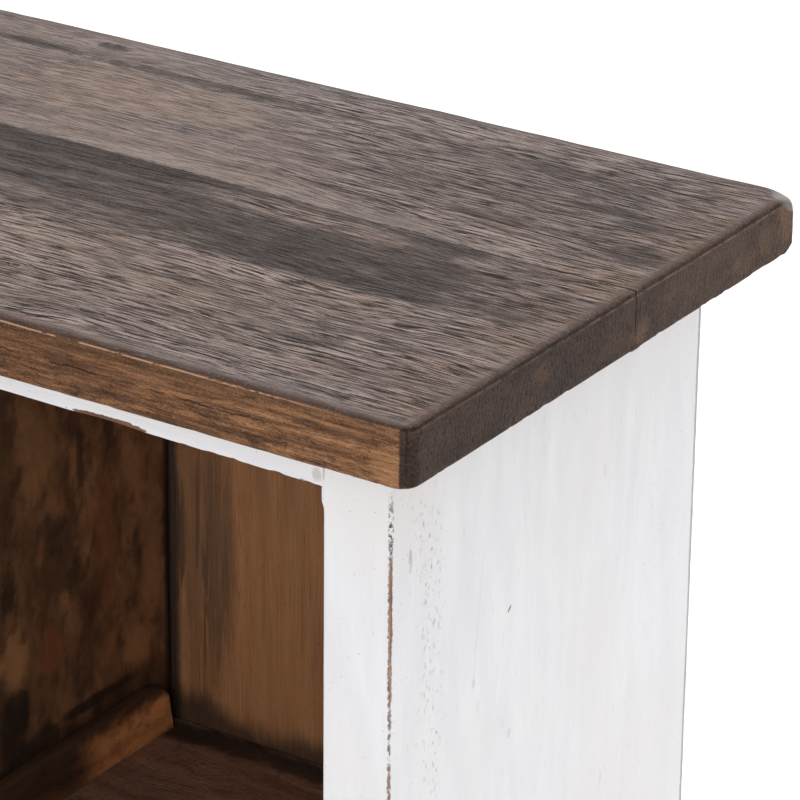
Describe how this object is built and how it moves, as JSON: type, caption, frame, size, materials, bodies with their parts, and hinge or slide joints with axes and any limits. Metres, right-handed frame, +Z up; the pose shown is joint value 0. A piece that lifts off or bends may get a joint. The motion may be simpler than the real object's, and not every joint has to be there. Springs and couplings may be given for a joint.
{
  "type": "bucket bench",
  "caption": "Low white-painted bench with open compartments under an overhanging weathered plank top, stained dark inside.",
  "frame": {"origin": "on the ground under the middle of the top's outline", "axes": "+X to the right along the length, +Y to the back, +Z up; the open front faces -Y"},
  "size_m": [0.894, 0.3, 0.45],
  "materials": {
    "weathered_top_wood": "dry weathered grey-brown with raised grain, warm brown on the edges",
    "white_painted_wood": "brushed white paint, worn through at the arrises",
    "dark_stained_wood": "dark brown stain with strong figure, dull",
    "bare_wood": "unfinished softwood",
    "fastener_steel": "dull steel"
  },
  "bodies": {
    "root": {"back_board_1": "dark_stained_wood", "back_board_2": "dark_stained_wood", "back_board_3": "dark_stained_wood", "back_board_4": "dark_stained_wood", "back_board_5": "dark_stained_wood", "back_board_6": "dark_stained_wood", "back_bottom_rail": "dark_stained_wood", "back_nails": "fastener_steel", "back_top_rail": "dark_stained_wood", "bearer_left": "bare_wood", "bearer_right": "bare_wood", "cleat_screws": "fastener_steel", "end_panel_left": "white_painted_wood", "end_panel_right": "white_painted_wood", "floor_back_board": "dark_stained_wood", "floor_cleat_left": "bare_wood", "floor_cleat_right": "bare_wood", "floor_front_board": "dark_stained_wood", "floor_nails": "fastener_steel", "foot_bead_left_left": "dark_stained_wood", "foot_bead_left_right": "dark_stained_wood", "foot_bead_right_left": "dark_stained_wood", "foot_bead_right_right": "dark_stained_wood", "front_bottom_rail": "white_painted_wood", "front_top_rail": "white_painted_wood", "mullion_left": "white_painted_wood", "mullion_right": "white_painted_wood", "partition_left": "dark_stained_wood", "partition_right": "dark_stained_wood", "partition_screws": "fastener_steel", "post_back_left": "white_painted_wood", "post_back_right": "white_painted_wood", "post_front_left": "white_painted_wood", "post_front_right": "white_painted_wood", "top_back_board": "weathered_top_wood", "top_cleat_left": "bare_wood", "top_cleat_right": "bare_wood", "top_dowels": "bare_wood", "top_front_board": "weathered_top_wood", "top_screws": "fastener_steel"}
  },
  "joints": []
}
